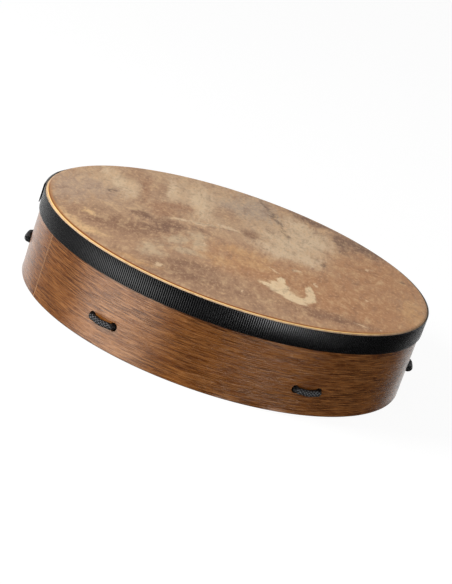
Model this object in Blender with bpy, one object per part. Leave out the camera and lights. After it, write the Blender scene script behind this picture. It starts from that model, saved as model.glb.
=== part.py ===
"""Frame drum with a laced grip, in metres, standing on its open back edge with the head up.

The origin is the centre of the back edge. Angles are measured round +Z from +X, and the six arms of the
lacing stand at 0, 60, 120 degrees and so on.
"""

import math

import bmesh
import bpy
from mathutils import Matrix, Vector

for leftover in list(bpy.data.objects):
    bpy.data.objects.remove(leftover)

# Bent-wood hoop
FRAME_RADIUS = 0.254
FRAME_DEPTH = 0.1105
FRAME_WALL = 0.009
BEARING_EDGE_RADIUS = 0.0025
EDGE_EASE = 0.0015

# Skin head
SKIN_THICKNESS = 0.0008
COLLAR_TUCK = 0.0008

# Webbing band over the collar: its first end lies under its last end
BAND_WIDTH = 0.025
BAND_THICKNESS = 0.001
BAND_BELOW_HEAD = 0.0012
BAND_FIRST_END_DEG = 170.0
BAND_OVERLAP_DEG = 14.5
BAND_CLIMB_DEG = 9.0
BAND_END_LIFT = 0.0008
BAND_LIFTED_DEG = 5.0

# Braided cord, its stitches and the holes they go through
CORD_DIAMETER = 0.008
HOLE_CLEARANCE = 0.00075
HOLE_SPACING = 0.032
LACING_HEIGHT = 0.0325
ARM_COUNT = 6
CORD_BEND_INSIDE = 0.001
STITCH_BOW = 0.0005
STITCH_SAG = 0.001
STITCH_TAIL = 0.005

# Grip ring and the cord wound round it
RING_RADIUS = 0.034
RING_ROD_DIAMETER = 0.008
WRAP_GAP = 0.0009
WRAP_EASE = 0.25

# Gap kept between pieces that touch on the real drum
FIT_GAP = 0.0003

# Facets, and the distance below which points are one
MERGE_DISTANCE = 1e-6
HOOP_SEGMENTS = 96
HOLE_SIDES = 16
RING_SEGMENTS = 60
ROD_SIDES = 8
CORNER_STEPS = 4
EASE_STEPS = 2
STITCH_STEPS = 8
LOOP_POINTS = 24
CORD_RESOLUTION = 2
WINDING_RESOLUTION = 1
SMOOTH_BELOW_DEG = 35.0

# Sizes that follow from those above
INNER_RADIUS = FRAME_RADIUS - FRAME_WALL
CORD_RADIUS = CORD_DIAMETER / 2
HOLE_RADIUS = CORD_RADIUS + HOLE_CLEARANCE
HOLE_ANGLE = math.asin(HOLE_SPACING / 2 / FRAME_RADIUS)
SKIN_INNER_RADIUS = FRAME_RADIUS + FIT_GAP
SKIN_OUTER_RADIUS = SKIN_INNER_RADIUS + SKIN_THICKNESS
HEAD_TOP = FRAME_DEPTH + FIT_GAP + SKIN_THICKNESS
BAND_TOP = HEAD_TOP - BAND_BELOW_HEAD
BAND_BOTTOM = BAND_TOP - BAND_WIDTH
BAND_INNER_RADIUS = SKIN_OUTER_RADIUS + FIT_GAP
STITCH_RADIUS = FRAME_RADIUS + FIT_GAP + CORD_RADIUS
STITCH_BEND = CORD_RADIUS + CORD_BEND_INSIDE
TAIL_RADIUS = INNER_RADIUS - STITCH_TAIL
WRAP_RADIUS = RING_ROD_DIAMETER / 2 + FIT_GAP + CORD_RADIUS
ARM_ANGLE = math.tau / ARM_COUNT

# The turns are spread evenly at the ring's inside, where they lie closest. Each winding starts on top and
# ends below, half a turn short, and its lead-in and lead-out angles keep that spacing to its neighbours.
WRAP_PITCHES = math.floor(ARM_ANGLE * (RING_RADIUS - WRAP_RADIUS) / (CORD_DIAMETER + WRAP_GAP))
WRAP_PITCH_ANGLE = ARM_ANGLE / WRAP_PITCHES
WRAP_TURNS = WRAP_PITCHES - 0.5
LEAD_ANGLE = (0.5 + WRAP_EASE) / 2 * WRAP_PITCH_ANGLE


def plain_material(name, colour, roughness, metallic=0.0):
    material = bpy.data.materials.new(name)
    material.use_nodes = True
    shader = material.node_tree.nodes["Principled BSDF"]
    shader.inputs["Base Color"].default_value = (*colour, 1.0)
    shader.inputs["Roughness"].default_value = roughness
    shader.inputs["Metallic"].default_value = metallic
    return material


def add_object(name, data, material=None, parent=None, turn=0.0):
    item = bpy.data.objects.new(name, data)
    item.rotation_euler.z = turn
    item.parent = parent
    bpy.context.scene.collection.objects.link(item)
    if material and not data.materials:
        data.materials.append(material)
    return item


def mesh_from(bm, name):
    bmesh.ops.recalc_face_normals(bm, faces=bm.faces)
    mesh = bpy.data.meshes.new(name)
    bm.to_mesh(mesh)
    bm.free()
    mesh.shade_smooth()
    mesh.set_sharp_from_angle(angle=math.radians(SMOOTH_BELOW_DEG))
    return mesh


def corner(centre_radius, centre_z, radius, first_deg, last_deg, steps):
    """Points of a profile's rounded corner, as (radius, z)."""
    points = []
    for step in range(steps + 1):
        angle = math.radians(first_deg + (last_deg - first_deg) * step / steps)
        points.append((centre_radius + radius * math.cos(angle), centre_z + radius * math.sin(angle)))
    return points


def turned_mesh(name, profile, segments, closed):
    """Turns a profile of (radius, z) points round Z; an open one starts and ends on the axis."""
    bm = bmesh.new()
    verts = [bm.verts.new((radius, 0.0, z)) for radius, z in profile]
    edges = [bm.edges.new(pair) for pair in zip(verts, verts[1:])]
    if closed:
        edges.append(bm.edges.new((verts[-1], verts[0])))
    bmesh.ops.spin(bm, geom=verts + edges, cent=(0, 0, 0), axis=(0, 0, 1), angle=math.tau,
                   steps=segments, use_merge=True)
    bmesh.ops.remove_doubles(bm, verts=bm.verts, dist=MERGE_DISTANCE)
    return mesh_from(bm, name)


def on_circle(radius, angle, z):
    return Vector((radius * math.cos(angle), radius * math.sin(angle), z))


def cord_curve(name, points, resolution, material):
    """A cord tube of the cord's diameter along straight steps between points."""
    curve = bpy.data.curves.new(name, "CURVE")
    curve.dimensions = "3D"
    curve.bevel_depth = CORD_RADIUS
    curve.bevel_resolution = resolution
    curve.use_fill_caps = True
    spline = curve.splines.new("POLY")
    spline.points.add(len(points) - 1)
    for place, point in zip(spline.points, points):
        place.co = (*point, 1.0)
    curve.materials.append(material)
    return curve


def make_frame_hoop(material):
    top, low = FRAME_DEPTH - EDGE_EASE, EDGE_EASE
    inside, outside = INNER_RADIUS + EDGE_EASE, FRAME_RADIUS - EDGE_EASE
    edge = BEARING_EDGE_RADIUS
    profile = corner(FRAME_RADIUS - edge, FRAME_DEPTH - edge, edge, 90, 0, CORNER_STEPS)
    profile += corner(outside, low, EDGE_EASE, 0, -90, EASE_STEPS)
    profile += corner(inside, low, EDGE_EASE, -90, -180, EASE_STEPS)
    profile += corner(inside, top, EDGE_EASE, 180, 90, EASE_STEPS)
    hoop = add_object("frame_hoop", turned_mesh("frame_hoop", profile, HOOP_SEGMENTS, True), material)

    bm = bmesh.new()
    middle_radius = (INNER_RADIUS + FRAME_RADIUS) / 2
    for arm in range(ARM_COUNT):
        for side in (-1, 1):
            angle = arm * ARM_ANGLE + side * HOLE_ANGLE
            drill = bmesh.ops.create_cone(bm, cap_ends=True, segments=HOLE_SIDES, radius1=HOLE_RADIUS,
                                          radius2=HOLE_RADIUS, depth=2 * FRAME_WALL)
            lay_down = Vector((0, 0, 1)).rotation_difference(on_circle(1, angle, 0)).to_matrix()
            bmesh.ops.rotate(bm, verts=drill["verts"], cent=(0, 0, 0), matrix=lay_down)
            bmesh.ops.translate(bm, verts=drill["verts"],
                                vec=on_circle(middle_radius, angle, LACING_HEIGHT))
    drills = add_object("hole_drills", mesh_from(bm, "hole_drills"))
    drills.hide_render = True
    drills.display_type = "WIRE"
    cut = hoop.modifiers.new("cord_holes", "BOOLEAN")
    cut.operation = "DIFFERENCE"
    cut.solver = "EXACT"
    cut.object = drills


def make_drum_head(material):
    centre_radius = FRAME_RADIUS - BEARING_EDGE_RADIUS
    centre_z = FRAME_DEPTH - BEARING_EDGE_RADIUS
    under = BEARING_EDGE_RADIUS + FIT_GAP
    collar_edge = BAND_BOTTOM + COLLAR_TUCK
    profile = [(0.0, HEAD_TOP)]
    profile += corner(centre_radius, centre_z, under + SKIN_THICKNESS, 90, 0, CORNER_STEPS)
    profile += [(SKIN_OUTER_RADIUS, collar_edge), (SKIN_INNER_RADIUS, collar_edge)]
    profile += corner(centre_radius, centre_z, under, 0, 90, CORNER_STEPS)
    profile += [(0.0, HEAD_TOP - SKIN_THICKNESS)]
    add_object("drum_head", turned_mesh("drum_head", profile, HOOP_SEGMENTS, False), material)


def band_rise(turned_deg):
    """How far the band's inner face stands off the collar, at an angle from its first end."""
    climbed = min(max((turned_deg - 360.0) / BAND_CLIMB_DEG + 1.0, 0.0), 1.0)
    lifted = max((turned_deg - 360.0 - BAND_OVERLAP_DEG) / BAND_LIFTED_DEG + 1.0, 0.0)
    return (BAND_THICKNESS + FIT_GAP) * (3 - 2 * climbed) * climbed ** 2 + BAND_END_LIFT * lifted ** 2


def make_webbing_band(material):
    step = 360.0 / HOOP_SEGMENTS
    last = 360.0 + BAND_OVERLAP_DEG
    first_mark = math.floor(BAND_FIRST_END_DEG / step) + 1
    marks = [mark * step - BAND_FIRST_END_DEG for mark in range(first_mark, first_mark + 2 * HOOP_SEGMENTS)]
    stops = [0.0] + [mark for mark in marks if mark < last] + [360.0, last]

    bm = bmesh.new()
    sections = []
    for turned in sorted(set(stops)):
        angle = math.radians(BAND_FIRST_END_DEG + turned)
        inner = BAND_INNER_RADIUS + band_rise(turned)
        outer = inner + BAND_THICKNESS
        corners = [(inner, BAND_BOTTOM), (outer, BAND_BOTTOM), (outer, BAND_TOP), (inner, BAND_TOP)]
        sections.append([bm.verts.new(on_circle(radius, angle, z)) for radius, z in corners])
    for here, there in zip(sections, sections[1:]):
        for side in range(4):
            following = (side + 1) % 4
            bm.faces.new((here[side], here[following], there[following], there[side]))
    bm.faces.new(sections[0])
    bm.faces.new(sections[-1])
    add_object("webbing_band", mesh_from(bm, "webbing_band"), material)


def stitch_half():
    """Half a stitch, from its tail inside the hoop to the end of its bend on the outside."""
    outward = on_circle(1, HOLE_ANGLE, 0)
    inward_round = on_circle(1, HOLE_ANGLE - math.pi / 2, 0)
    height = Vector((0, 0, LACING_HEIGHT))
    points = [outward * TAIL_RADIUS + height]
    centre = outward * (STITCH_RADIUS - STITCH_BEND) + inward_round * STITCH_BEND + height
    for step in range(CORNER_STEPS + 1):
        angle = math.pi / 2 * step / CORNER_STEPS
        points.append(centre + STITCH_BEND * (math.sin(angle) * outward - math.cos(angle) * inward_round))
    return points


def make_cord_stitches(material):
    half = stitch_half()
    other_half = [Vector((point.x, -point.y, point.z)) for point in reversed(half)]
    end_angle = math.atan2(half[-1].y, half[-1].x)
    middle = []
    for step in range(1, STITCH_STEPS):
        share = 1 - 2 * step / STITCH_STEPS
        slack = math.cos(math.pi / 2 * share) ** 2
        middle.append(on_circle(STITCH_RADIUS + STITCH_BOW * slack, share * end_angle,
                                LACING_HEIGHT - STITCH_SAG * slack))
    curve = cord_curve("cord_stitch", half + middle + other_half, CORD_RESOLUTION, material)
    for arm in range(ARM_COUNT):
        add_object(f"cord_stitch_{arm + 1}", curve, turn=arm * ARM_ANGLE)


def strand_line(side):
    """Where a strand leaves the ring and where it meets the stitch's tail, seen from the ring's centre.

    Side +1 leaves the ring's top after the arm's middle, side -1 its underside before it.
    """
    at_ring = on_circle(RING_RADIUS, side * LEAD_ANGLE, side * WRAP_RADIUS)
    at_tail = on_circle(TAIL_RADIUS, side * HOLE_ANGLE, 0)
    return at_ring, at_tail, (at_tail - at_ring).normalized()


def make_lacing_strands(material):
    height = Vector((0, 0, LACING_HEIGHT))
    for letter, side in (("a", -1), ("b", 1)):
        at_ring, at_tail, along = strand_line(side)
        first = at_ring + along * (CORD_DIAMETER + FIT_GAP) + height
        last = at_tail - along * FIT_GAP + height
        curve = cord_curve(f"lacing_strand_{letter}", [first, last], CORD_RESOLUTION, material)
        for arm in range(ARM_COUNT):
            add_object(f"lacing_strand_{arm + 1}{letter}", curve, turn=arm * ARM_ANGLE)


def make_grip_ring(material, grip):
    rod = RING_ROD_DIAMETER / 2
    profile = corner(RING_RADIUS, 0.0, rod, 180, 180 - 360 * (ROD_SIDES - 1) / ROD_SIDES, ROD_SIDES - 1)
    add_object("grip_ring", turned_mesh("grip_ring", profile, RING_SEGMENTS, True), material, grip)


def wound_pitches(turns):
    """Pitches travelled round the ring, starting and stopping gently at the winding's two ends."""
    if turns < WRAP_EASE:
        return turns ** 2 / (2 * WRAP_EASE)
    if turns > WRAP_TURNS - WRAP_EASE:
        return WRAP_TURNS - WRAP_EASE - wound_pitches(WRAP_TURNS - turns)
    return turns - WRAP_EASE / 2


def winding_points():
    """One winding, over the ring's top and inwards, seen from the ring's centre."""
    loop = []
    steps = round(WRAP_TURNS * LOOP_POINTS)
    for step in range(steps + 1):
        turns = step / LOOP_POINTS
        round_rod = math.tau * turns
        round_ring = LEAD_ANGLE + WRAP_PITCH_ANGLE * wound_pitches(turns)
        loop.append(on_circle(RING_RADIUS - WRAP_RADIUS * math.sin(round_rod), round_ring,
                              WRAP_RADIUS * math.cos(round_rod)))
    lead_in = strand_line(1)[2] * CORD_DIAMETER
    lead_out = Matrix.Rotation(ARM_ANGLE, 3, "Z") @ strand_line(-1)[2] * CORD_DIAMETER
    return [loop[0] + lead_in] + loop + [loop[-1] + lead_out]


def least_gap(points):
    """The least gap between the turns of one winding, measured on its points half a turn or more apart."""
    gaps = []
    for first, here in enumerate(points):
        for there in points[first + LOOP_POINTS // 2:]:
            gaps.append((here - there).length - CORD_DIAMETER)
    return min(gaps)


def make_ring_windings(material, grip):
    points = winding_points()
    print(f"Least gap between a winding's turns: {least_gap(points) * 1000:.2f} mm")
    curve = cord_curve("ring_winding", points, WINDING_RESOLUTION, material)
    for arm in range(ARM_COUNT):
        add_object(f"ring_winding_{arm + 1}", curve, parent=grip, turn=arm * ARM_ANGLE)


walnut = plain_material("stained_walnut", (0.16, 0.065, 0.025), 0.45)
goat_skin = plain_material("goat_skin", (0.41, 0.26, 0.165), 0.6)
webbing = plain_material("black_webbing", (0.012, 0.012, 0.013), 0.7)
braid = plain_material("black_braid", (0.01, 0.01, 0.011), 0.75)
steel = plain_material("ring_steel", (0.55, 0.55, 0.56), 0.35, 1.0)

make_frame_hoop(walnut)
make_drum_head(goat_skin)
make_webbing_band(webbing)
make_cord_stitches(braid)
make_lacing_strands(braid)

grip_centre = add_object("grip_centre", None)
grip_centre.location.z = LACING_HEIGHT
make_grip_ring(steel, grip_centre)
make_ring_windings(braid, grip_centre)
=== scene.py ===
import math

import bmesh
import bpy
import numpy as np
from mathutils import Matrix, Vector


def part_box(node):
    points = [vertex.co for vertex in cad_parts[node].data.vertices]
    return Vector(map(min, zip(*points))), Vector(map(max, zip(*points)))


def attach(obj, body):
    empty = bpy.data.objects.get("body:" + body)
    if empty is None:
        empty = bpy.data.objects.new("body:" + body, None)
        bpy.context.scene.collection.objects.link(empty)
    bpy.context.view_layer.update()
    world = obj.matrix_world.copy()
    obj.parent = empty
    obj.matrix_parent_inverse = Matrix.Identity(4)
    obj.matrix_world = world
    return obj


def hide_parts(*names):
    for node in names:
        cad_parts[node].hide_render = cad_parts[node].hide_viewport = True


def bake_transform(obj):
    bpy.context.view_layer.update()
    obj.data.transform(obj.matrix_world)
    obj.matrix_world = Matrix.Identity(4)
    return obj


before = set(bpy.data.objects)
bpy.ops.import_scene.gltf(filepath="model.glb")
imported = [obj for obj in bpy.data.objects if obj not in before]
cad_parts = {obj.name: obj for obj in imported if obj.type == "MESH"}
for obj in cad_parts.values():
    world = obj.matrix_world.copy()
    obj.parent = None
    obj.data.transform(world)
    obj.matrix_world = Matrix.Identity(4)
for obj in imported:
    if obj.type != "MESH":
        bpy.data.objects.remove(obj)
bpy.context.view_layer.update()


# The camera
# A long lens looks down on the head at a shallow angle, rolled so that the drum leans down to the right.
# The picture is 452 pixels wide and 584 high.
PICTURE_HEIGHT_PX = 584
FOCAL_LENGTH_PX = 1910.1
FILM_SIZE_MM = 36.0
CAMERA_PLACE = Vector((-0.05693, -2.33424, 0.78570))
CAMERA_TURN_DEG = -1.5
CAMERA_LOOKS_DOWN_DEG = 17.58
CAMERA_ROLL_DEG = 19.33

camera_data = bpy.data.cameras.new("long_lens")
camera_data.sensor_width = FILM_SIZE_MM
camera_data.lens = FILM_SIZE_MM * FOCAL_LENGTH_PX / PICTURE_HEIGHT_PX
camera = bpy.data.objects.new("long_lens", camera_data)
camera_aim = Matrix.Rotation(math.radians(CAMERA_TURN_DEG), 4, "Z")
camera_aim @= Matrix.Rotation(math.radians(90.0 - CAMERA_LOOKS_DOWN_DEG), 4, "X")
camera_aim @= Matrix.Rotation(math.radians(CAMERA_ROLL_DEG), 4, "Z")
camera.matrix_world = Matrix.Translation(CAMERA_PLACE) @ camera_aim
bpy.context.scene.collection.objects.link(camera)
bpy.context.scene.camera = camera


# The hoop
# One strip of wood, steamed and bent into a ring, with its feathered ends glued over each other in a scarf
# seam. It is stained walnut brown, rubbed with oil, and drilled with six pairs of holes for the cord.
MM = 1000.0
HOOP_WALL = 0.009
BEARING_EDGE = 0.0025
BEARING_STEPS = 8
HOOP_EASE = 0.0015
EASE_STEPS = 5
HOOP_STEPS = 360
HOOP_WALL_ROWS = 16
SEAM_DEG = 210.0
SEAM_STEP = 0.00022
SEAM_FEATHER_DEG = 14.0
SEAM_EDGE_DEG = 0.05
ARM_COUNT = 6
LACING_HEIGHT = 0.0325
HOLE_SPACING = 0.032
HOLE_RADIUS = 0.00475
HOLE_FLARE = 0.0006
HOLE_SIDES = 32
SHARP_FROM_DEG = 35.0
MERGE_DISTANCE = 1e-7

# The bent wall's unevenness: how far it swells, and its crossed waves, each with its count and start round
# the drum, and its rate and start along the wall.
HOOP_WAVE = 0.00012
HOOP_SWELLS = ((9, 1.3, 55.0, 0.4), (23, 0.0, 80.0, math.pi / 2))

WALNUT_DARK = (79, 36, 4)
WALNUT_LIGHT = (104, 53, 8)
WALNUT_ROUGHNESS = (0.22, 0.32)
WALNUT_GLOSS = {"Specular IOR Level": 1.0, "IOR": 1.6}
WOOD_SHINE = (1.0, 0.82, 0.66, 1.0)
DULL_GRAIN = (0.74, 0.61, 0.51, 1.0)
DULL_PORES = (0.70, 0.58, 0.49, 1.0)
DRILLED_DARK = (52, 29, 12)
DRILLED_LIGHT = (96, 60, 32)
DRILLED_ROUGHNESS = (0.75, 0.9)
DRILLED_GLOSS = {"Specular IOR Level": 0.1}

# What a noise's values mostly lie between, and the reliefs, each with its strength and depth.
NOISE_SPREAD = (0.3, 0.7)
FIBRE_RELIEF = (0.25, 0.0002)
PORE_RELIEF = (0.3, 0.0002)
TORN_RELIEF = (0.5, 0.0002)

# The grain's patterns: length and width in millimetres, detail, roughness and distortion.
GRAIN = {
    "figure": (150, 12, 5.0, 0.5, 0.8),
    "cloud": (55, 24, 3.0, 0.5, 0.5),
    "fibre": (26, 0.9, 6.0, 0.7, 0.0),
    "streaks": (90, 0.8, 3.0, 0.6, 0.0),
    "flecks": (32, 0.7, 1.0, 0.6, 0.0),
    "pores": (16, 0.65, 1.0, 0.5, 0.0),
}
TORN_GRAIN = (3, 0.5, 4.0, 0.65, 0.0)
FIGURE_RANGE = (0.34, 0.66)
TORN_RANGE = (0.35, 0.65)
SHINY_FLECKS = (0.48, 0.62)
OPEN_PORES = (0.52, 0.64)

# The tones laid over the stain's ground, each with the pattern that shows it, the pattern's values where it
# begins and where it is full, its strength and its colour. The last two go by millimetres: a pale line
# along the seam, and the wood darker towards its back edge.
STAIN_TONES = (
    ("cloud", 0.50, 0.70, 0.60, (126, 69, 18)),
    ("cloud", 0.48, 0.28, 0.50, (72, 37, 10)),
    ("fibre", 0.46, 0.68, 0.45, (134, 82, 38)),
    ("fibre", 0.46, 0.30, 0.30, (68, 32, 5)),
    ("streaks", 0.50, 0.64, 0.60, (143, 90, 42)),
    ("streaks", 0.48, 0.30, 0.30, (66, 30, 4)),
    ("flecks", 0.53, 0.60, 0.85, (158, 103, 54)),
    ("flecks", 0.46, 0.36, 0.40, (64, 29, 4)),
    ("pores", 0.46, 0.36, 0.70, (151, 96, 46)),
    ("pores", *OPEN_PORES, 0.40, (54, 26, 6)),
    ("from_seam", 0.8, 0.3, 0.50, (190, 150, 112)),
    ("from_back_edge", 2.2, 0.4, 0.50, (70, 40, 22)),
)

hoop_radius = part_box("frame_hoop")[1].x
hoop_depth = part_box("frame_hoop")[1].z
hoop_inside = hoop_radius - HOOP_WALL
hole_middle = hoop_radius - HOOP_WALL / 2
hole_angle = math.asin(HOLE_SPACING / 2 / hoop_radius)
arm_turns = [Matrix.Rotation(math.tau * arm / ARM_COUNT, 3, "Z") for arm in range(ARM_COUNT)]


def rounded_corner(centre_radius, centre_z, radius, first_deg, last_deg, steps):
    """Points of a profile's round corner, as (radius, z)."""
    angles = np.radians(np.linspace(first_deg, last_deg, steps + 1))
    return np.column_stack((centre_radius + radius * np.cos(angles), centre_z + radius * np.sin(angles)))


def straight_run(first, last, steps):
    """Points between two points of a profile, without its ends."""
    return np.linspace(first, last, steps + 1)[1:-1]


def full_circle(steps):
    return np.radians(np.linspace(0, 360, steps, endpoint=False))


def swells(angles, along, waves):
    """An unevenness round the drum and along a profile, as the sum of crossed waves."""
    return sum(np.sin(count * angles + start)[:, None] * np.sin(along * rate + along_start)
               for count, start, rate, along_start in waves)


def turned(radii, heights, angles):
    """Sections of (radius, z) profiles, one for each angle round the drum's axis."""
    radii = np.broadcast_to(radii, (len(angles), np.shape(radii)[-1]))
    heights = np.broadcast_to(heights, radii.shape)
    angles = np.asarray(angles)[:, None]
    return np.stack((radii * np.cos(angles), radii * np.sin(angles), heights), axis=-1)


def lofted(name, sections, ring=False, tube=True, capped=False):
    """A mesh through a row of sections that have as many points each.

    A ring joins its last section to its first, a tube joins each section's last point to its first, and a
    capped one is closed by a face at either end.
    """
    sections = np.asarray(sections, float)
    rows, columns = sections.shape[:2]
    index = np.arange(rows * columns).reshape(rows, columns)
    here = index if ring else index[:-1]
    there = np.roll(index, -1, axis=0)[:len(here)]
    wide = columns if tube else columns - 1
    beside = np.roll(np.arange(columns), -1)[:wide]
    quads = np.stack((here[:, :wide], here[:, beside], there[:, beside], there[:, :wide]), axis=-1)
    faces = quads.reshape(-1, 4).tolist()
    if capped:
        faces += [index[0].tolist(), index[-1].tolist()]
    mesh = bpy.data.meshes.new(name)
    mesh.from_pydata(sections.reshape(-1, 3).tolist(), [], faces)
    shape = bmesh.new()
    shape.from_mesh(mesh)
    bmesh.ops.remove_doubles(shape, verts=shape.verts, dist=MERGE_DISTANCE)
    bmesh.ops.recalc_face_normals(shape, faces=shape.faces)
    shape.to_mesh(mesh)
    shape.free()
    return mesh


def smooth_to_edges(mesh):
    mesh.shade_smooth()
    mesh.set_sharp_from_angle(angle=math.radians(SHARP_FROM_DEG))


def add_piece(mesh, *materials):
    """An object for a finished mesh, shaded smooth up to its sharp edges."""
    smooth_to_edges(mesh)
    for material in materials:
        mesh.materials.append(material)
    piece = bpy.data.objects.new(mesh.name, mesh)
    bpy.context.scene.collection.objects.link(piece)
    return piece


def cut_away(piece, cutter):
    """Cuts one object's shape out of another and removes the cutter."""
    cut = piece.modifiers.new("cut", "BOOLEAN")
    cut.operation = "DIFFERENCE"
    cut.solver = "EXACT"
    cut.material_mode = "TRANSFER"
    cut.object = cutter
    seen = piece.evaluated_get(bpy.context.evaluated_depsgraph_get())
    mesh = bpy.data.meshes.new_from_object(seen)
    piece.modifiers.clear()
    piece.data = mesh
    bpy.data.objects.remove(cutter)
    smooth_to_edges(mesh)


def shade(red, green, blue):
    """A colour as it looks, 0 to 255, in the light values that a shader takes."""
    values = [value / 255 for value in (red, green, blue)]
    return (*[((value + 0.055) / 1.055) ** 2.4 for value in values], 1.0)


def start_material(name):
    """A new material, with its node tree and its shader."""
    material = bpy.data.materials.new(name)
    material.use_nodes = True
    return material, material.node_tree, material.node_tree.nodes["Principled BSDF"]


def add_node(tree, kind, inputs, **settings):
    """A shader node whose inputs are set to values or linked to other nodes' outputs."""
    made = tree.nodes.new("ShaderNode" + kind)
    for name, setting in settings.items():
        setattr(made, name, setting)
    for socket, value in inputs.items():
        if isinstance(value, bpy.types.NodeSocket):
            tree.links.new(value, made.inputs[socket])
        else:
            made.inputs[socket].default_value = value
    return made


def arithmetic(tree, operation, first, second=0.0):
    return add_node(tree, "Math", {0: first, 1: second}, operation=operation).outputs[0]


def times(tree, first, second):
    return arithmetic(tree, "MULTIPLY", first, second)


def scaled(tree, vector, factors):
    return add_node(tree, "VectorMath", {0: vector, 1: factors}, operation="MULTIPLY").outputs[0]


def distance(tree, vector):
    return add_node(tree, "VectorMath", {0: vector}, operation="LENGTH").outputs["Value"]


def split_up(tree, vector):
    return tuple(add_node(tree, "SeparateXYZ", {0: vector}).outputs)


def object_place(tree):
    return add_node(tree, "TexCoord", {}).outputs["Object"]


def noise(tree, vector, scale=1.0, detail=2.0, roughness=0.5, distortion=0.0):
    inputs = {"Vector": vector, "Scale": scale, "Detail": detail, "Roughness": roughness,
              "Distortion": distortion}
    return add_node(tree, "TexNoise", inputs).outputs[0]


def drawn_out(tree, along, length, width, *kind):
    """A noise drawn out along the hoop, by its length and width in millimetres."""
    return noise(tree, scaled(tree, along, (1 / length, 1 / width, 1 / width)), 1.0, *kind)


def graded(tree, value, first, last, at_first=0.0, at_last=1.0):
    """Goes smoothly from one number to another while a value goes from first to last."""
    inputs = {"Value": value, "From Min": first, "From Max": last, "To Min": at_first, "To Max": at_last}
    return add_node(tree, "MapRange", inputs, interpolation_type="SMOOTHSTEP").outputs[0]


def spread(tree, pattern, lowest, highest):
    """A number that follows a noise from its low values to its high ones."""
    return graded(tree, pattern, *NOISE_SPREAD, lowest, highest)


def mixed(tree, share, first, second):
    return add_node(tree, "Mix", {0: share, 6: first, 7: second}, data_type="RGBA").outputs[2]


def toned(tree, ground, patterns, tones):
    """A ground colour with tones laid over it, each where its pattern shows it."""
    for name, first, last, strength, colour in tones:
        share = graded(tree, patterns[name], first, last, 0.0, strength)
        ground = mixed(tree, share, ground, shade(*colour))
    return ground


def bumped(tree, height, relief, under=None):
    """A surface normal from a height, over another normal if one is given."""
    strength, depth = relief
    inputs = {"Height": height, "Strength": strength, "Distance": depth}
    if under is not None:
        inputs["Normal"] = under
    return add_node(tree, "Bump", inputs).outputs[0]


def dress(tree, shader, colour, roughness, normal, fixed):
    """Links a shader's colour, roughness and relief, and sets what is the same all over."""
    for socket, source in (("Base Color", colour), ("Roughness", roughness), ("Normal", normal)):
        tree.links.new(source, shader.inputs[socket])
    for socket, value in fixed.items():
        shader.inputs[socket].default_value = value


def round_the_drum(tree, break_deg):
    """Millimetres round the hoop from opposite a break, up from its back edge and out from its axis."""
    place = object_place(tree)
    turn = math.radians(180.0 - break_deg)
    turned_place = add_node(tree, "VectorRotate", {"Vector": place, "Angle": turn},
                            rotation_type="Z_AXIS").outputs[0]
    x, y, z = split_up(tree, turned_place)
    along = times(tree, arithmetic(tree, "ARCTAN2", y, x), hoop_radius)
    out = distance(tree, scaled(tree, place, (1, 1, 0)))
    joined = add_node(tree, "CombineXYZ", {0: along, 1: z, 2: out}).outputs[0]
    return scaled(tree, joined, (MM, MM, MM))


def stained_walnut():
    """Fine fibres and open pores along the strip, over its broad figure, with a pale seam."""
    material, tree, shader = start_material("stained_walnut")
    along = round_the_drum(tree, SEAM_DEG)
    round_hoop, from_back_edge, _ = split_up(tree, along)
    half_way_round = math.pi * hoop_radius * MM
    from_seam = arithmetic(tree, "SUBTRACT", half_way_round, arithmetic(tree, "ABSOLUTE", round_hoop))
    grain = {name: drawn_out(tree, along, *sizes) for name, sizes in GRAIN.items()}
    figure = graded(tree, grain["figure"], *FIGURE_RANGE)
    wood = mixed(tree, figure, shade(*WALNUT_DARK), shade(*WALNUT_LIGHT))
    patterns = {**grain, "from_seam": from_seam, "from_back_edge": from_back_edge}
    wood = toned(tree, wood, patterns, STAIN_TONES)
    pore_mask = graded(tree, grain["pores"], *OPEN_PORES)
    gloss = mixed(tree, graded(tree, grain["flecks"], *SHINY_FLECKS), DULL_GRAIN, WOOD_SHINE)
    gloss = mixed(tree, pore_mask, gloss, DULL_PORES)
    tree.links.new(gloss, shader.inputs["Specular Tint"])
    roughness = spread(tree, grain["fibre"], *WALNUT_ROUGHNESS)
    relief = bumped(tree, grain["fibre"], FIBRE_RELIEF)
    relief = bumped(tree, arithmetic(tree, "SUBTRACT", 1.0, pore_mask), PORE_RELIEF, relief)
    dress(tree, shader, wood, roughness, relief, WALNUT_GLOSS)
    return material


def drilled_wood():
    """The bare, unpolished wood inside the holes."""
    material, tree, shader = start_material("drilled_wood")
    torn = drawn_out(tree, round_the_drum(tree, SEAM_DEG), *TORN_GRAIN)
    wood = mixed(tree, graded(tree, torn, *TORN_RANGE), shade(*DRILLED_DARK), shade(*DRILLED_LIGHT))
    roughness = spread(tree, torn, *DRILLED_ROUGHNESS)
    dress(tree, shader, wood, roughness, bumped(tree, torn, TORN_RELIEF), DRILLED_GLOSS)
    return material


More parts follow.
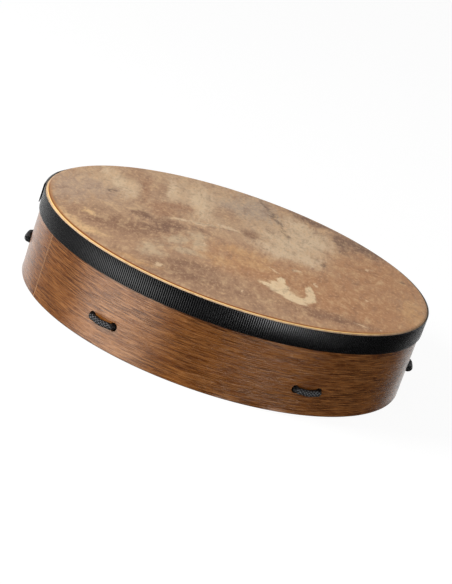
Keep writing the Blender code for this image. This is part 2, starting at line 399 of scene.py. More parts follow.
def make_hoop():
    """The strip's profile turned round the axis, a little uneven, with its glued end standing proud."""
    low, high = HOOP_EASE, hoop_depth - HOOP_EASE
    inside, outside = hoop_inside + HOOP_EASE, hoop_radius - HOOP_EASE
    shoulder = hoop_depth - BEARING_EDGE
    outer_top = rounded_corner(hoop_radius - BEARING_EDGE, shoulder, BEARING_EDGE, 90, 0, BEARING_STEPS)
    outer_wall = straight_run((hoop_radius, shoulder), (hoop_radius, low), HOOP_WALL_ROWS)
    outer_low = rounded_corner(outside, low, HOOP_EASE, 0, -90, EASE_STEPS)
    inner_low = rounded_corner(inside, low, HOOP_EASE, -90, -180, EASE_STEPS)
    inner_wall = straight_run((hoop_inside, low), (hoop_inside, high), HOOP_WALL_ROWS)
    inner_top = rounded_corner(inside, high, HOOP_EASE, 180, 90, EASE_STEPS)
    profile = np.concatenate((outer_top, outer_wall, outer_low, inner_low, inner_wall, inner_top))
    radii, heights = profile.T

    turns = np.linspace(0.0, 360.0, HOOP_STEPS, endpoint=False)
    turns = np.sort(np.append(turns, SEAM_DEG + SEAM_EDGE_DEG))
    angles = np.radians(turns)
    feather = np.clip((turns - SEAM_DEG) / SEAM_FEATHER_DEG + 1.0, 0.0, 1.0) * (turns <= SEAM_DEG)
    proud = SEAM_STEP * feather ** 2
    wave = swells(angles, heights, HOOP_SWELLS)
    on_outer_wall = np.isclose(radii, hoop_radius)
    radii = radii + (proud[:, None] + HOOP_WAVE * wave - HOOP_WAVE) * on_outer_wall
    mesh = lofted("bent_wood_hoop", turned(radii, heights, angles), ring=True)
    return add_piece(mesh, stained_walnut())


def drill_cord_holes(piece):
    """Cuts a pair of holes at each arm, flared a little at both ends."""
    reach = HOOP_WALL / 2
    stations = ((-reach - HOLE_FLARE, 3 * HOLE_FLARE), (-reach, HOLE_FLARE), (-reach + HOLE_FLARE, 0.0),
                (reach - HOLE_FLARE, 0.0), (reach, HOLE_FLARE), (reach + HOLE_FLARE, 3 * HOLE_FLARE))
    round_hole = full_circle(HOLE_SIDES)
    sections = []
    for along, flare in stations:
        radius = HOLE_RADIUS + flare
        out = np.full(HOLE_SIDES, hole_middle + along)
        up = LACING_HEIGHT + radius * np.sin(round_hole)
        sections.append(np.column_stack((out, radius * np.cos(round_hole), up)))
    bare_wood = drilled_wood()
    for arm in range(ARM_COUNT):
        for side in (-1, 1):
            drill = add_piece(lofted("drill", sections, capped=True), bare_wood)
            drill.matrix_world = Matrix.Rotation(math.tau * arm / ARM_COUNT + side * hole_angle, 4, "Z")
            cut_away(piece, drill)


hoop = make_hoop()
drill_cord_holes(hoop)
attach(hoop, "frame")
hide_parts("frame_hoop")


# The head
# One goat skin, laid wet over the hoop's rounded edge, drawn down its outside and glued there. It dried
# tight and thin, with the animal's own pale and dark patches, and a golden edge where it bends. That edge
# has a painted highlight, with painted shade beside it, strongest in front.
SKIN_THICKNESS = 0.0008
FIT_GAP = 0.0003
BAND_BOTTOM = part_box("webbing_band")[0].z
COLLAR_TUCK = 0.0008
COLLAR_EASE = 0.0003
COLLAR_INNER_EASE = 0.0002
HEAD_RINGS = 44
HEAD_STEPS = 240
BEND_STEPS = 14
INNER_BEND_STEPS = 10
SKIN_WAVE = 0.00015
SKIN_SWELLS = ((5, 0.7, 40.0, 0.0), (8, 0.0, 62.0, math.pi / 2))
SKIN_ROUGHNESS = (0.50, 0.64)
SKIN_GLOSS = {"IOR": 1.15}
HAIR_SIDE = (184, 146, 114)
FLESH_SIDE = (204, 174, 140)
FLESH_TONE_SHARE = 0.6
PATCH_MERGE = 0.4

# How far a patch's edge strays: the grain of its straying and its reach in millimetres, and its detail.
# Soft patches stray loosely, and those with a softness under the limit closely.
LOOSE_EDGE = (40, 26, 3.0)
CLOSE_EDGE = (10, 5.5, 4.0)
CLOSE_EDGE_BELOW = 0.4
EDGE_ROUGHNESS = 0.65
FEATHER_MM = (5, 26)
FEATHER_RANGE = (0.25, 0.75)
FEATHER_REACH = 0.6

# The skin's noises: scale in each millimetre, detail, roughness and distortion.
FEATHER = (1.0, 5.0, 0.65, 0.6)
CLOUD = (1 / 15, 7.0, 0.68, 0.4)
SPECKLE = (1 / 3.8, 4.0, 0.6)
FOLLICLES = (1 / 1.1, 2.0)
RIM_DRIFT = (1 / 22, 4.0)
MOTTLE_DRAWN = (1.0, 0.5, 1.0)
SPECKLE_RELIEF = (0.15, 0.0003)
FOLLICLE_RELIEF = (0.12, 0.0002)

# The skin's tones, from the softest clouds to the sharpest spots: colour, how strong it is, how soft its
# edge, and its patches, each with its middle and half size in millimetres from the head's centre, and its
# turn in degrees.
SKIN_TONES = {
    "pale_upper": ((203, 173, 141), 0.85, 0.8, (
        (-72, 140, 110, 100, 0), (-165, 90, 65, 75, 0), (60, 110, 65, 85, 0))),
    "orange_side": ((184, 132, 91), 0.85, 0.75, (
        (150, -80, 115, 115, 0), (185, 60, 75, 90, 0), (30, -75, 70, 60, 0))),
    "brown_low": ((162, 125, 97), 0.75, 0.8, (
        (-140, -90, 75, 55, 0), (-40, -190, 105, 55, 0), (-212, -55, 36, 40, 0))),
    "tan_left": ((184, 150, 119), 0.75, 0.7, ((-150, 10, 55, 55, 0), (-192, -30, 45, 36, 0))),
    "grey_left": ((180, 153, 131), 0.8, 0.7, ((-205, 35, 40, 38, 0), (-228, 0, 26, 55, 0))),
    "grey_top": ((178, 156, 136), 0.8, 0.7, ((12, 198, 28, 46, 12), (-5, 165, 38, 28, 0))),
    "brown_streaks": ((166, 127, 98), 0.75, 0.9, (
        (-122, 132, 12, 56, 4), (-134, 88, 11, 48, 0), (-92, 60, 15, 34, 0), (-24, 112, 15, 32, 10),
        (-160, 172, 11, 34, 10))),
    "pale_cloud": ((220, 193, 160), 0.95, 0.9, (
        (55, 30, 30, 28, 0), (86, 38, 20, 28, 0), (66, 78, 34, 28, 0), (92, 120, 26, 48, -6),
        (74, 178, 17, 26, 10))),
    "pale_streaks": ((222, 195, 161), 0.85, 0.9, (
        (-66, 142, 12, 48, 4), (-56, 108, 9, 44, 0), (-170, 92, 12, 36, 18), (-196, 132, 8, 22, 20),
        (-106, 150, 6, 40, 6), (-80, 20, 17, 5, 40), (-45, 36, 22, 4, 14), (-20, 56, 17, 5, 0))),
    "dark_corner": ((128, 98, 80), 0.95, 0.85, (
        (168, 178, 36, 25, -40), (140, 162, 11, 38, 6), (90, 226, 40, 12, -20))),
    "brown_patches": ((142, 106, 82), 0.85, 0.9, (
        (-145, -76, 34, 24, 0), (-172, -88, 26, 20, 0), (-52, -152, 28, 16, 0), (130, -166, 46, 16, 12),
        (-60, -194, 42, 20, 0), (12, 62, 10, 17, 0), (-50, 6, 16, 7, -10))),
    "dark_patches": ((130, 96, 76), 0.95, 0.85, (
        (-94, -22, 21, 26, 0), (-104, -46, 21, 13, 20), (-128, -14, 10, 16, 0))),
    "red_patches": ((164, 120, 90), 0.8, 0.9, (
        (-110, 40, 15, 28, 10), (-84, 72, 11, 20, 0), (-140, 130, 7, 38, 4))),
    "beige_run": ((200, 173, 141), 0.92, 0.6, (
        (-55, -24, 12, 22, 4), (-48, -60, 8, 30, 0), (-76, -72, 10, 26, -24), (-60, -106, 18, 11, 0),
        (-100, -140, 14, 27, -8))),
    "orange_patches": ((206, 160, 113), 0.75, 0.85, (
        (22, -62, 23, 14, 0), (-112, -202, 25, 10, -10), (10, -30, 30, 14, 0), (235, -40, 12, 44, 0),
        (-20, -90, 17, 17, 0))),
    "golden_patches": ((230, 190, 140), 0.85, 0.9, (
        (-190, -76, 7, 10, 0), (-182, -144, 19, 10, -20), (-222, -113, 9, 15, 20),
        (-206, -128, 8, 13, 30))),
    "dark_veins": ((108, 86, 71), 0.7, 0.8, (
        (22, 222, 2.5, 24, 24), (36, 186, 3, 26, 22), (52, 152, 2.5, 22, 18), (60, 126, 3, 14, 6),
        (-30, 40, 22, 2, 12), (225, 84, 3.5, 7, 0), (114, 36, 2.5, 6, 0), (-176, 46, 3.5, 7, 0),
        (76, -34, 3.5, 4, 0))),
    "cream_island": ((238, 210, 170), 0.95, 0.25, (
        (61, -90, 5, 13, 0), (61, -111, 13, 12, 0), (57, -124, 22, 9, -6), (72, -138, 24, 10, -12),
        (82, -150, 16, 9, -10))),
    "cream_islet": ((236, 208, 168), 0.9, 0.35, (
        (98, -90, 5, 13, 4), (101, -110, 6, 16, 6), (101, -126, 7, 11, 0), (96, -136, 7, 8, 0))),
    "cream_spots": ((224, 194, 158), 0.8, 0.45, (
        (50, -58, 3, 8, 6), (79, -33, 3.5, 4.5, 0), (108, -58, 2.2, 6, 0), (172, 90, 2.6, 5, 0),
        (170, -55, 2.6, 6, 8), (165, -161, 4.5, 2.6, 0), (-85, -190, 3, 9, 10), (16, -184, 2.6, 7, -14),
        (-44, -40, 2.6, 11, 0), (186, -148, 4.5, 2.2, 20))),
}

# The fine mottle over them, laid on as the stain's tones are.
MOTTLE_TONES = (
    ("cloud", 0.48, 0.70, 0.50, (222, 188, 149)),
    ("cloud", 0.50, 0.30, 0.45, (122, 84, 58)),
    ("speckle", 0.52, 0.70, 0.45, (226, 189, 145)),
    ("speckle", 0.48, 0.28, 0.30, (114, 74, 46)),
)

# The bend's colours: where each begins and where it is full, in millimetres inward from the hoop's outside.
# The ochre zone and the dark line are painted shade, and the golden bend is a painted highlight on the
# skin's paler edge. These three are strong where the plan lies far enough towards the front.
RIM_FRONT = (-0.28, -0.96, 0.0)
RIM_STRONG_MM = (40.0, 150.0)
RIM_SHIFT_MM = 1.0
RIM_DRIFT_MM = 3.0
OCHRE_SHADE_MM = (8.5, 5.5)
OCHRE_SHADE_STRENGTH = 0.65
OCHRE_SHADE = (178, 118, 60)
CREASE_SHADE_MM = (4.8, 3.6)
CREASE_SHADE_END_MM = (2.0, 2.6)
CREASE_SHADE_WIDENS_MM = (140.0, 240.0, 0.0, 2.4)
CREASE_SHADE_STRENGTH = 0.85
CREASE_SHADE = (146, 78, 26)
PALE_COLLAR_MM = (1.4, 0.4)
PALE_COLLAR_STRENGTH = 0.5
PALE_COLLAR = (212, 188, 160)
GOLDEN_BEND_HIGHLIGHT_MM = (2.4, 1.9)
GOLDEN_BEND_HIGHLIGHT = (255, 210, 132)

head_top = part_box("drum_head")[1].z
skin_outside = hoop_radius + FIT_GAP + SKIN_THICKNESS


def dot_product(tree, first, second):
    return add_node(tree, "VectorMath", {0: first, 1: second}, operation="DOT_PRODUCT").outputs["Value"]


def moved(tree, vector, by):
    return add_node(tree, "VectorMath", {0: vector, 1: by}, operation="ADD").outputs[0]


def oval_reach(tree, plan, patch):
    """The square of how far out a point lies on an oval: nought in its middle and one at its edge."""
    x, y, half_x, half_y, turn_deg = patch
    turn_cos, turn_sin = math.cos(math.radians(turn_deg)), math.sin(math.radians(turn_deg))
    length = (turn_cos / half_x, turn_sin / half_x, -(x * turn_cos + y * turn_sin) / half_x)
    width = (-turn_sin / half_y, turn_cos / half_y, (x * turn_sin - y * turn_cos) / half_y)
    along = dot_product(tree, plan, length)
    across = dot_product(tree, plan, width)
    return arithmetic(tree, "ADD", times(tree, along, along), times(tree, across, across))


def strayed(tree, plan, grain_mm, reach_mm, detail):
    """The head's plan, each point strayed a little to make edges ragged, with one as its third number."""
    drift = add_node(tree, "TexNoise", {"Vector": plan, "Scale": 1 / grain_mm, "Detail": detail,
                                        "Roughness": EDGE_ROUGHNESS}).outputs["Color"]
    drift = moved(tree, drift, (-0.5, -0.5, -0.5))
    drift = scaled(tree, drift, (2 * reach_mm, 2 * reach_mm, 0))
    return moved(tree, plan, moved(tree, drift, (0, 0, 1)))


def rim_colours(tree, skin, plan):
    """The skin over the hoop's edge: painted shade in an ochre zone and a dark line, and a painted
    highlight on a golden bend, strongest in front.
    """
    inward = arithmetic(tree, "SUBTRACT", hoop_radius * MM, distance(tree, plan))
    front = dot_product(tree, plan, RIM_FRONT)
    strong = graded(tree, front, *RIM_STRONG_MM)
    drift = arithmetic(tree, "SUBTRACT", noise(tree, plan, *RIM_DRIFT), 0.5)
    uneven = arithmetic(tree, "SUBTRACT", inward, times(tree, drift, RIM_DRIFT_MM))
    # Painted warm shade beside the bend, strongest in front.
    ochre_shade = times(tree, graded(tree, uneven, *OCHRE_SHADE_MM, 0.0, OCHRE_SHADE_STRENGTH), strong)
    skin = mixed(tree, ochre_shade, skin, shade(*OCHRE_SHADE))

    shift = graded(tree, front, *RIM_STRONG_MM[::-1], 0.0, RIM_SHIFT_MM)
    inward = arithmetic(tree, "ADD", inward, shift)
    # A painted shade line just inside the bend, strongest in front.
    widened = arithmetic(tree, "SUBTRACT", inward, graded(tree, front, *CREASE_SHADE_WIDENS_MM))
    line = times(tree, graded(tree, widened, *CREASE_SHADE_MM), graded(tree, inward, *CREASE_SHADE_END_MM))
    line = times(tree, times(tree, line, strong), CREASE_SHADE_STRENGTH)
    skin = mixed(tree, line, skin, shade(*CREASE_SHADE))
    pale = graded(tree, inward, *PALE_COLLAR_MM, 0.0, PALE_COLLAR_STRENGTH)
    skin = mixed(tree, pale, skin, shade(*PALE_COLLAR))
    # The golden bend: the skin's own paler edge with a painted highlight, strongest in front.
    golden_highlight = times(tree, graded(tree, inward, *GOLDEN_BEND_HIGHLIGHT_MM), strong)
    return mixed(tree, golden_highlight, skin, shade(*GOLDEN_BEND_HIGHLIGHT))


def goat_skin(name, ground, tone_share, on_bend):
    """Patches with soft or ragged edges over a ground colour, and a fine mottle over both."""
    material, tree, shader = start_material(name)
    plan = scaled(tree, object_place(tree), (MM, MM, 0))
    loose_plan = strayed(tree, plan, *LOOSE_EDGE)
    close_plan = strayed(tree, plan, *CLOSE_EDGE)
    feather = scaled(tree, plan, (1 / FEATHER_MM[0], 1 / FEATHER_MM[1], 1.0))
    feather = graded(tree, noise(tree, feather, *FEATHER), *FEATHER_RANGE, -FEATHER_REACH, FEATHER_REACH)

    skin = shade(*ground)
    for colour, strength, softness, patches in SKIN_TONES.values():
        edge_plan = close_plan if softness < CLOSE_EDGE_BELOW else loose_plan
        reach = oval_reach(tree, edge_plan, patches[0])
        for patch in patches[1:]:
            inputs = {0: reach, 1: oval_reach(tree, edge_plan, patch), 2: PATCH_MERGE}
            reach = add_node(tree, "Math", inputs, operation="SMOOTH_MIN").outputs[0]
        reach = arithmetic(tree, "ADD", arithmetic(tree, "SQRT", reach), times(tree, feather, softness))
        share = graded(tree, reach, 1 + softness, 1 - softness, 0.0, strength * tone_share)
        skin = mixed(tree, share, skin, shade(*colour))

    drawn = scaled(tree, plan, MOTTLE_DRAWN)
    cloud = noise(tree, drawn, *CLOUD)
    speckle = noise(tree, drawn, *SPECKLE)
    skin = toned(tree, skin, {"cloud": cloud, "speckle": speckle}, MOTTLE_TONES)
    # The hair side gets the bend's painted light and shade.
    if on_bend:
        skin = rim_colours(tree, skin, plan)
    roughness = spread(tree, cloud, *SKIN_ROUGHNESS)
    relief = bumped(tree, speckle, SPECKLE_RELIEF)
    relief = bumped(tree, noise(tree, plan, *FOLLICLES), FOLLICLE_RELIEF, relief)
    dress(tree, shader, skin, roughness, relief, SKIN_GLOSS)
    return material


def make_head():
    """One closed sheet: over the top, round the bend, down the collar, and back again on its inside."""
    centre_radius = hoop_radius - BEARING_EDGE
    centre_z = hoop_depth - BEARING_EDGE
    under = BEARING_EDGE + FIT_GAP
    collar_edge = BAND_BOTTOM + COLLAR_TUCK
    skin_inside = skin_outside - SKIN_THICKNESS
    head_under = head_top - SKIN_THICKNESS
    top = straight_run((0.0, head_top), (centre_radius, head_top), HEAD_RINGS)
    shoulder = rounded_corner(centre_radius, centre_z, under + SKIN_THICKNESS, 90, 0, BEND_STEPS)
    lip = ((skin_outside, collar_edge + COLLAR_EASE), (skin_outside - COLLAR_EASE, collar_edge),
           (skin_inside + COLLAR_INNER_EASE, collar_edge))
    inner_shoulder = rounded_corner(centre_radius, centre_z, under, 0, 90, INNER_BEND_STEPS)
    bottom = straight_run((centre_radius, head_under), (0.0, head_under), HEAD_RINGS)
    axis_top = [(0.0, head_top)]
    axis_low = [(0.0, head_under)]
    profile = np.concatenate((axis_top, top, shoulder, lip, inner_shoulder, bottom, axis_low))
    radii, heights = profile.T
    angles = full_circle(HEAD_STEPS)
    inward = np.clip(radii / centre_radius, 0, 1)
    on_flat = (inward < 1.0) * inward * (1 - inward) * 4
    heights = heights - SKIN_WAVE * on_flat * (1 + swells(angles, radii, SKIN_SWELLS) / 2)
    mesh = lofted("goat_skin_head", turned(radii, heights, angles), ring=True, tube=False)
    hair_side = goat_skin("goat_skin_hair_side", HAIR_SIDE, 1.0, True)
    flesh_side = goat_skin("goat_skin_flesh_side", FLESH_SIDE, FLESH_TONE_SHARE, False)
    piece = add_piece(mesh, hair_side, flesh_side)
    for face in mesh.polygons:
        inner = math.hypot(face.center.x, face.center.y) < skin_outside - SKIN_THICKNESS / 2
        face.material_index = int(inner and face.center.z < head_top - SKIN_THICKNESS / 2)
    return piece


head = make_head()
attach(head, "frame")
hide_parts("drum_head")


# The webbing band
# A strip of black ribbed webbing, woven of shiny synthetic thread, 25 mm wide and glued round the skin's
# collar. Its last end laps over its first, and has come a little unstuck.
BAND_THICKNESS = 0.001
BAND_FIRST_END_DEG = 170.0
BAND_OVERLAP_DEG = 14.5
BAND_CLIMB_DEG = 9.0
BAND_END_LIFT = 0.0008
BAND_LIFTED_DEG = 5.0
BAND_DIP = 0.0016
BAND_LOWEST_DEG = 116.0
BAND_ROWS = 3
RIB_PITCH = 0.00268
RIB_DEPTH = 0.0005

# A rib from one groove to the next, as shares of its pitch and of its height.
RIB_PROFILE = ((0.0, 0.0), (0.12, 0.1), (0.20, 0.82), (0.27, 0.94), (0.34, 0.975), (0.42, 0.994),
               (0.50, 1.0), (0.58, 0.994), (0.66, 0.975), (0.73, 0.94), (0.80, 0.82), (0.88, 0.1))

# The strip's rounded selvedge, as shares of its height and of the strip's thickness.
SELVEDGE = 0.0005
SELVEDGE_PROFILE = ((0.5, 0.0), (0.0, 0.4), (0.25, 0.8))

WARP_PITCH_MM = 0.85
# In the grooves between the ribs the thread gets painted shade: near black, with its reflection tinted out.
GROOVE_SHADE_SHARE = (0.20, 0.31)
THREAD_DARK = (10, 10, 11)
THREAD_LIGHT = (20, 20, 21)
THREAD_TONES = (("worn", 0.45, 0.70, 0.4, (32, 32, 34)), ("off_crest", *GROOVE_SHADE_SHARE, 1.0, (1, 1, 1)))
THREAD_ROUGHNESS = (0.20, 0.30)
THREAD_GLOSS = {"Specular IOR Level": 0.8}
THREAD_FUZZ = (1 / 0.7, 3.0)
THREAD_WEAR = (2.0, 3.5, 3.0)
THREAD_FUZZ_RELIEF = (0.1, 0.0001)
WEAVE_RELIEF = (0.7, 0.0001)
WHITE = (1.0, 1.0, 1.0, 1.0)
BLACK = (0.0, 0.0, 0.0, 1.0)

band_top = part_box("webbing_band")[1].z
band_inside = skin_outside + FIT_GAP
rib_count = round(math.tau * (band_inside + BAND_THICKNESS) / RIB_PITCH)


def band_rise(turned_deg):
    """How far the band's inner face stands off the collar, at angles from its first end."""
    climbed = np.clip((turned_deg - 360.0) / BAND_CLIMB_DEG + 1.0, 0.0, 1.0)
    lifted = np.clip((turned_deg - 360.0 - BAND_OVERLAP_DEG) / BAND_LIFTED_DEG + 1.0, 0.0, None)
    return (BAND_THICKNESS + FIT_GAP) * (3 - 2 * climbed) * climbed ** 2 + BAND_END_LIFT * lifted ** 2


def off_middle(tree, count):
    """How far a count lies from the middle of its step: nought there, and a half at the step's ends."""
    return arithmetic(tree, "ABSOLUTE", arithmetic(tree, "SUBTRACT", arithmetic(tree, "FRACT", count), 0.5))


def black_webbing():
    """Thread that crosses over and under along the ribs, glossy on their crests, with painted shade that
    darkens the grooves and takes their reflection away.
    """
    material, tree, shader = start_material("black_webbing")
    along = round_the_drum(tree, BAND_FIRST_END_DEG)
    round_band, up, _ = split_up(tree, along)
    rib = arithmetic(tree, "DIVIDE", round_band, math.tau * hoop_radius * MM / rib_count)
    rib = arithmetic(tree, "ADD", rib, rib_count / 2)
    off_crest = off_middle(tree, rib)
    warp = arithmetic(tree, "SINE", times(tree, up, math.tau / WARP_PITCH_MM))
    over = times(tree, warp, arithmetic(tree, "COSINE", times(tree, rib, math.pi)))
    fuzz = noise(tree, along, *THREAD_FUZZ)
    worn = drawn_out(tree, along, *THREAD_WEAR)
    thread = mixed(tree, graded(tree, over, -1.0, 1.0), shade(*THREAD_DARK), shade(*THREAD_LIGHT))
    # Painted shade in the grooves: a near-black colour, and a black specular tint that takes their
    # reflection away.
    thread = toned(tree, thread, {"worn": worn, "off_crest": off_crest}, THREAD_TONES)
    gloss = mixed(tree, graded(tree, off_crest, *GROOVE_SHADE_SHARE), WHITE, BLACK)
    tree.links.new(gloss, shader.inputs["Specular Tint"])
    roughness = spread(tree, fuzz, *THREAD_ROUGHNESS)
    relief = bumped(tree, fuzz, THREAD_FUZZ_RELIEF, bumped(tree, over, WEAVE_RELIEF))
    dress(tree, shader, thread, roughness, relief, THREAD_GLOSS)
    return material


def make_band():
    """The strip laid round the collar, with its ribs and rounded selvedges, and its end lapped over."""
    ribs = np.arange(math.ceil(rib_count * (1 + BAND_OVERLAP_DEG / 360.0)))
    place, lift = np.array(RIB_PROFILE).T
    turned_deg = (ribs[:, None] + place).ravel() / rib_count * 360.0
    groove = 1.0 - np.tile(lift, len(ribs))
    within = turned_deg < 360.0 + BAND_OVERLAP_DEG
    turned_deg, groove = turned_deg[within], groove[within]
    angles = np.radians(BAND_FIRST_END_DEG + turned_deg)
    inside = band_inside + band_rise(turned_deg)
    crest = BAND_THICKNESS - RIB_DEPTH * groove
    rows = np.linspace(BAND_BOTTOM + SELVEDGE, band_top - SELVEDGE, BAND_ROWS)
    rise, thick = np.array(SELVEDGE_PROFILE).T
    heights = np.concatenate((BAND_BOTTOM + SELVEDGE * rise, rows, band_top - SELVEDGE * rise[::-1]))
    share = np.concatenate((thick, np.ones(BAND_ROWS), thick[::-1]))
    dip = BAND_DIP * np.clip(np.cos(angles - math.radians(BAND_LOWEST_DEG)), 0.0, None) ** 2
    heights = heights - dip[:, None]
    radii = inside[:, None] + crest[:, None] * share
    return add_piece(lofted("ribbed_webbing", turned(radii, heights, angles), capped=True), black_webbing())


band = make_band()
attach(band, "frame")
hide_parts("webbing_band")


# The grip ring
# A ring of plain steel rod, bent round and butt welded, that hangs in the lacing in the middle of the open
# back. The cord is wound round it, so bare metal shows only between the turns.
RING_STEPS = 144
ROD_SIDES = 24
WELD_BEAD = 0.0003
WELD_HALF_DEG = 3.0
STEEL_BRIGHT = (196, 196, 198)
STEEL_STAINED = (150, 147, 143)
STEEL_ROUGHNESS = (0.24, 0.42)
STEEL_GLOSS = {"Metallic": 1.0}
STEEL_STAIN = (140.0, 4.0, 0.6)
STEEL_STAIN_RANGE = (0.4, 0.7)
STEEL_SCRATCHES = (1500, 1500, 4000)
SCRATCH_RELIEF = (0.15, 0.0001)

ring_low, ring_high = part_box("grip_ring")
rod_radius = (ring_high.z - ring_low.z) / 2
ring_radius = ring_high.x - rod_radius


def drawn_steel():
    """Bright rod with duller stains and fine scratches."""
    material, tree, shader = start_material("drawn_steel")
    place = object_place(tree)
    stain = noise(tree, place, *STEEL_STAIN)
    scratch = noise(tree, scaled(tree, place, STEEL_SCRATCHES))
    stained = graded(tree, stain, *STEEL_STAIN_RANGE)
    metal = mixed(tree, stained, shade(*STEEL_BRIGHT), shade(*STEEL_STAINED))
    roughness = spread(tree, stain, *STEEL_ROUGHNESS)
    dress(tree, shader, metal, roughness, bumped(tree, scratch, SCRATCH_RELIEF), STEEL_GLOSS)
    return material


def make_ring():
    """The rod turned round the drum's axis, with a low bead at its weld."""
    round_rod = full_circle(ROD_SIDES)
    turns = np.linspace(-180.0, 180.0, RING_STEPS, endpoint=False)
    bead = WELD_BEAD * np.clip(1 - (turns / WELD_HALF_DEG) ** 2, 0, 1)
    rod = rod_radius + bead[:, None]
    sections = turned(ring_radius + rod * np.cos(round_rod), LACING_HEIGHT + rod * np.sin(round_rod),
                      np.radians(turns))
    return add_piece(lofted("steel_grip_ring", sections, ring=True), drawn_steel())


ring = make_ring()
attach(ring, "grip")
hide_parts("grip_ring")


# The lacing cord
# One black cord, braided of fine yarn, 8 mm thick and laced all the way round: out and in through a pair of
# holes, straight to the ring, round it in close turns, and out to the next pair. Here is one sixth of it.
CORD_RADIUS = 0.004
CORD_STEP = 0.0008
CORD_SIDES = 32
CORD_BEND_INSIDE = 0.001
CORD_EASE_PASSES = 4
BRAID_STRANDS = 6
BRAID_CELL = 0.0044
BRAID_LOW = 0.84
BRAID_HIGH = 1.03
BRAID_ROUND = 0.6
BRAID_DIVE = 0.45
BRAID_MAP = "braid_lay"
STITCH_BOW = 0.0005
STITCH_SAG = 0.001
STITCH_TAIL = 0.005
STITCH_BEND_STEPS = 8
STITCH_OVER_STEPS = 16
WRAP_GAP = 0.0009
WRAP_EASE = 0.25
LOOP_POINTS = 48
YARNS = 5
# The yarns' greys are a painted highlight along the middle of each strand of the black cord, striped by its
# yarns.
YARN_HIGHLIGHT_DIM = (84, 84, 86)
YARN_HIGHLIGHT_BRIGHT = (140, 140, 142)
# The last tone is painted shade along each strand's edges, where it dives under the next.
BRAID_TONES = (
    ("fuzz", 0.55, 0.78, 0.6, (186, 186, 188)),
    ("dust", 0.50, 0.75, 0.3, (40, 39, 38)),
    ("off_middle", 0.05, 0.24, 1.0, (4, 4, 4)),
)
BRAID_ROUGHNESS = (0.45, 0.65)
BRAID_GLOSS = {"Specular IOR Level": 0.3}
BRAID_FUZZ = (2200.0, 3.0)
BRAID_DUST = (120.0, 3.0)
BRAID_FUZZ_RELIEF = (0.2, 0.0001)
YARN_RELIEF = (0.4, 0.0001)

# Painted shade where the cord dives into the hoop's holes, in millimetres out from the hoop's outside and
# in from its inside.
HOLE_SHADE_OUTSIDE_MM = (7.6, 4.0)
HOLE_SHADE_INSIDE_MM = (5.0, 1.0)
HOLE_SHADE_STRENGTH = 0.9
HOLE_SHADE_COLOUR = (3, 3, 3)

stitch_radius = hoop_radius + FIT_GAP + CORD_RADIUS
stitch_bend = CORD_RADIUS + CORD_BEND_INSIDE
tail_radius = hoop_inside - STITCH_TAIL
wrap_radius = rod_radius + FIT_GAP + CORD_RADIUS
arm_angle = math.tau / ARM_COUNT
wrap_pitches = math.floor(arm_angle * (ring_radius - wrap_radius) / (2 * CORD_RADIUS + WRAP_GAP))
wrap_pitch_angle = arm_angle / wrap_pitches
wrap_turns = wrap_pitches - 0.5
lead_angle = (0.5 + WRAP_EASE) / 2 * wrap_pitch_angle


def on_circle(radius, angle, z):
    return Vector((radius * math.cos(angle), radius * math.sin(angle), z))


def stitch_path():
    """From the middle of one hole, over the outside of the hoop, to the middle of the hole beside it."""
    outward = on_circle(1, hole_angle, 0)
    towards = on_circle(1, hole_angle - math.pi / 2, 0)
    centre = outward * (stitch_radius - stitch_bend) + towards * stitch_bend
    half = [outward * hole_middle]
    for step in range(STITCH_BEND_STEPS + 1):
        angle = math.pi / 2 * step / STITCH_BEND_STEPS
        half.append(centre + stitch_bend * (math.sin(angle) * outward - math.cos(angle) * towards))
    end_angle = math.atan2(half[-1].y, half[-1].x)
    over = []
    for step in range(1, STITCH_OVER_STEPS):
        share = 2 * step / STITCH_OVER_STEPS - 1
        slack = math.cos(math.pi / 2 * share) ** 2
        over.append(on_circle(stitch_radius + STITCH_BOW * slack, share * end_angle, -STITCH_SAG * slack))
    return [Vector((point.x, -point.y, point.z)) for point in half] + over + half[::-1]


def wound_pitches(turns):
    """Pitches travelled round the ring, starting and stopping gently at the winding's two ends."""
    if turns < WRAP_EASE:
        return turns ** 2 / (2 * WRAP_EASE)
    if turns > wrap_turns - WRAP_EASE:
        return wrap_turns - WRAP_EASE - wound_pitches(wrap_turns - turns)
    return turns - WRAP_EASE / 2


def winding_path():
    """Over the ring's top, inwards and round it, to its underside half a turn short of the next arm."""
    points = []
    for step in range(round(wrap_turns * LOOP_POINTS) + 1):
        turns = step / LOOP_POINTS
        round_rod = math.tau * turns
        points.append(on_circle(ring_radius - wrap_radius * math.sin(round_rod),
                                lead_angle + wrap_pitch_angle * wound_pitches(turns),
                                wrap_radius * math.cos(round_rod)))
    return points


def evenly_spaced(points, spacing):
    """Points along a path at an even spacing, with its bends eased, and how far along each lies."""
    points = np.array(points)
    lengths = np.concatenate(([0.0], np.cumsum(np.linalg.norm(np.diff(points, axis=0), axis=1))))
    travelled = np.linspace(0.0, lengths[-1], round(lengths[-1] / spacing) + 1)
    even = np.column_stack([np.interp(travelled, lengths, points[:, axis]) for axis in range(3)])
    for _ in range(CORD_EASE_PASSES):
        even[1:-1] = (even[:-2] + 2 * even[1:-1] + even[2:]) / 4
    return even, travelled


def braid_height(round_cord, along_cord):
    """Height of the braid's strands: two crossing sets, each diving under the other in turn."""
    first = BRAID_STRANDS * round_cord + along_cord / BRAID_CELL
    second = BRAID_STRANDS * round_cord - along_cord / BRAID_CELL
    first_on_top = (np.floor(first) + np.floor(second)) % 2 == 0
    across = np.where(first_on_top, first, second) % 1
    onward = np.where(first_on_top, second, first) % 1
    arched = 1 - BRAID_DIVE + BRAID_DIVE * np.sin(np.pi * onward)
    return np.sin(np.pi * across) ** BRAID_ROUND * arched


